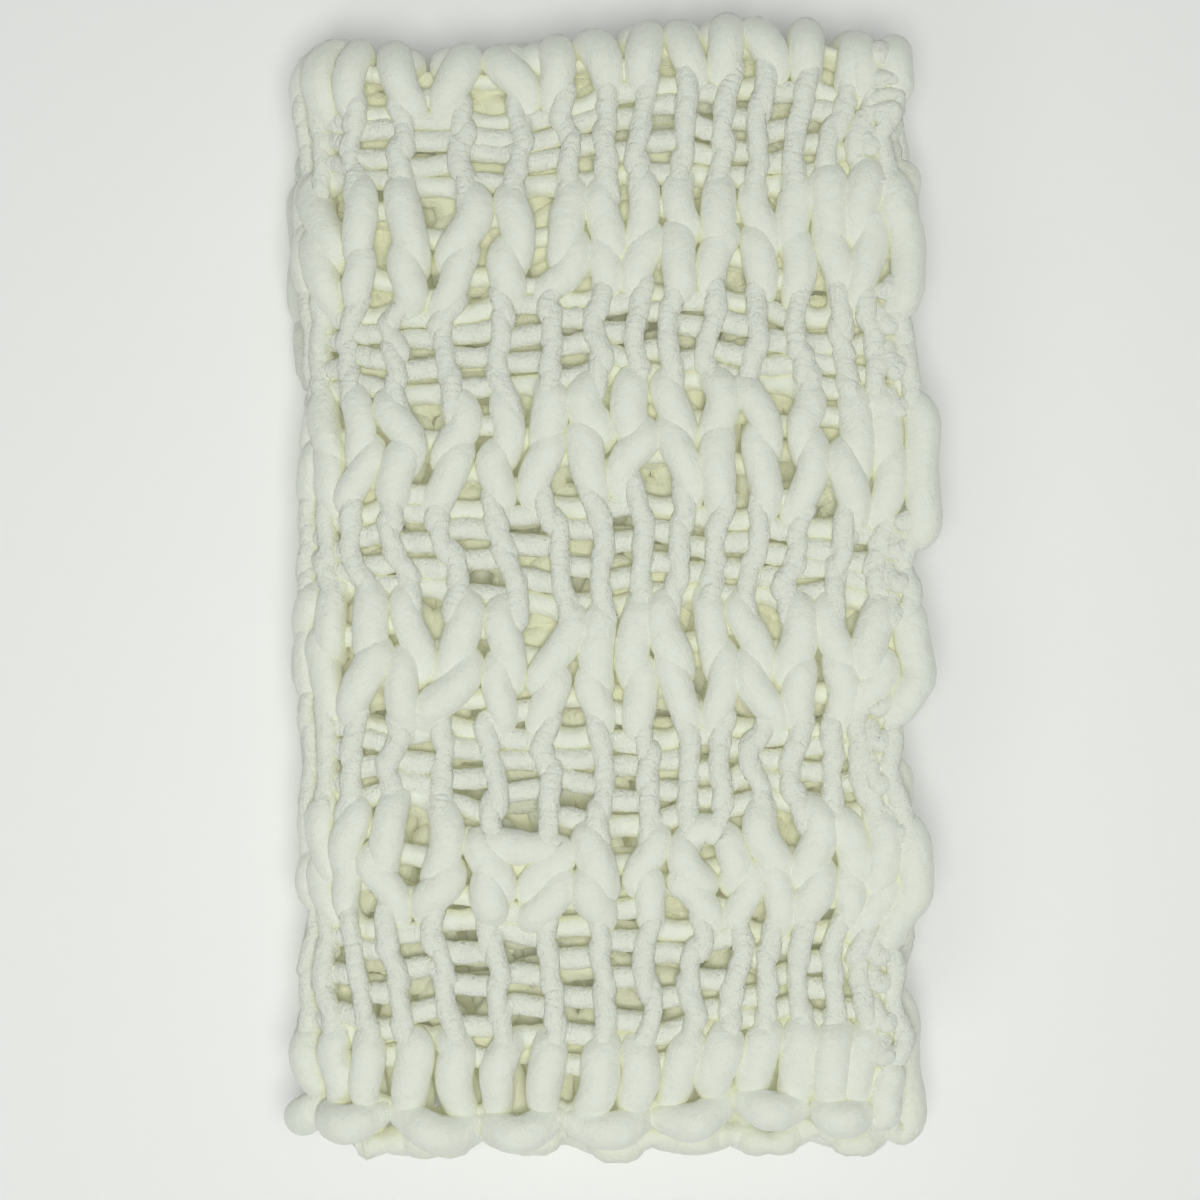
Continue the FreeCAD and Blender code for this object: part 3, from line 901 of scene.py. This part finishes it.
def column_pieces(column, stands_for, fine_half):
    """The knit of one column of a side fold, bending across its hinge."""
    first, last = column.wale, column.wale + 1
    made = []
    for weight in (THICK, THIN):
        strands, sides = [], 0
        for half in (CAST, BIND):
            more, count = row_strands(rows_of(weight, half), first, last, weight, half in fine_half)
            strands, sides = strands + more, max(sides, count)
        made.append((knit_piece(f"{column.name}_{weight}_knit", strands, weight, sides, column),
                     f"{weight}_bands"))
    strands, sides = row_strands(rows_of(THICK, kind="far"), first, last, THICK, bool(fine_half))
    made.append((knit_piece(f"{column.name}_far_bend_knit", strands, THICK, sides, column), "far_bend"))
    samples, sides = detail(THICK, bool(fine_half))
    inner = CAST if column.sense > 0 else BIND
    rolls = [
        edge_roll(along, first, last, samples, squeezed=half == inner)
        for half, along in ((CAST, CAST_ROLL), (BIND, BIND_ROLL))
    ]
    made.append((knit_piece(f"{column.name}_rolls", rolls, THICK, sides, column), "edges"))
    for piece, node in made:
        if stands_for:
            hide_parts(f"{stands_for}_{node}")
        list(column.ends())
        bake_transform(piece)


def build_columns(name, first_wale, hinges, sense, chain, fine_half):
    """The three columns of one side fold. chain lists the four bodies that its hinges join."""
    for k in range(FOLD_WALES):
        angle = sense * (k - 1) * SEGMENT if sense > 0 else math.pi - (k - 1) * SEGMENT
        column = Column(f"{name}_column_{k + 1}", first_wale + k, hinges[k], angle, sense, chain[k:k + 2])
        stands_for = {0: f"{name}_lower", 2: f"{name}_upper"}.get(k)
        column_pieces(column, stands_for, fine_half)


RIGHT_CHAIN = ("bottom_panel", "right_fold_lower", "right_fold_upper", "middle_panel")
LEFT_CHAIN = ("middle_panel", "left_fold_lower", "left_fold_upper", "top_panel")
panel_pieces("bottom_panel", 0, R_START, CAST, ())
panel_pieces("middle_panel", R_END, L_START, BIND, ())
panel_pieces("top_panel", L_END, WALES, CAST, (CAST,))
build_columns("right_fold", R_START, RIGHT_HINGES, 1, RIGHT_CHAIN, ())
build_columns("left_fold", L_START, LEFT_HINGES, -1, LEFT_CHAIN, (CAST,))


# ---------------------------------------------------------------- floor, light and camera
FLOOR_HALF = 8.0                                           # metres from the middle of the floor to its edge
LENS = 85.0                                                # mm
SENSOR = 36.0                                              # mm
FRAME_SIDE = 1.059                                         # side of the view, in lengths of the pile
VIEW_SHIFT = (7.7 * MM, -4.5 * MM)                         # how far the view's middle is off the pile's
VIEW_LEVEL = 0.7                                           # height that the view fits, in heights of the pile
AIM = (0, 0, 0.1)                                          # where the lights point


def make_floor():
    mesh = bpy.data.meshes.new("floor")
    half = FLOOR_HALF
    corners = [(-half, -half, 0), (half, -half, 0), (half, half, 0), (-half, half, 0)]
    mesh.from_pydata(corners, [], [(0, 1, 2, 3)])
    floor = bpy.data.objects.new("floor", mesh)
    bpy.context.scene.collection.objects.link(floor)
    paint = bpy.data.materials.new("pale_floor")
    paint.use_nodes = True
    surface = paint.node_tree.nodes["Principled BSDF"]
    surface.inputs["Base Color"].default_value = (0.97, 0.97, 0.97, 1)
    surface.inputs["Roughness"].default_value = 0.9
    mesh.materials.append(paint)


def area_light(name, place, size, power, colour):
    data = bpy.data.lights.new(name, "AREA")
    data.shape = "DISK"
    data.size = size
    data.energy = power
    data.color = colour
    light = bpy.data.objects.new(name, data)
    light.location = place
    light.rotation_mode = "QUATERNION"
    light.rotation_quaternion = (Vector(AIM) - Vector(place)).to_track_quat("-Z", "Y")
    bpy.context.scene.collection.objects.link(light)


def make_light():
    world = bpy.data.worlds.new("studio")
    world.use_nodes = True
    world.node_tree.nodes["Background"].inputs["Color"].default_value = (0.95, 1.0, 0.97, 1)
    world.node_tree.nodes["Background"].inputs["Strength"].default_value = 0.28
    bpy.context.scene.world = world
    area_light("overhead", place=(0.05, -0.2, 2.7), size=0.7, power=35.5, colour=(1.0, 1.0, 0.97))
    area_light("near_side", place=(-0.6, -1.6, 2.0), size=1.0, power=6.5, colour=(1.0, 1.0, 0.96))


def make_camera():
    """Straight above the pile, with its long side up the frame."""
    low, high = CAD_BOX
    data = bpy.data.cameras.new("camera")
    data.lens = LENS
    data.sensor_width = SENSOR
    camera = bpy.data.objects.new("camera", data)
    frame_side = FRAME_SIDE * (high.y - low.y)
    distance = frame_side / 2 / (data.sensor_width / 2 / data.lens)
    camera.location = (*VIEW_SHIFT, VIEW_LEVEL * high.z + distance)
    bpy.context.scene.collection.objects.link(camera)
    bpy.context.scene.camera = camera


make_floor()
make_light()
make_camera()
bpy.context.scene.view_settings.view_transform = "Standard"
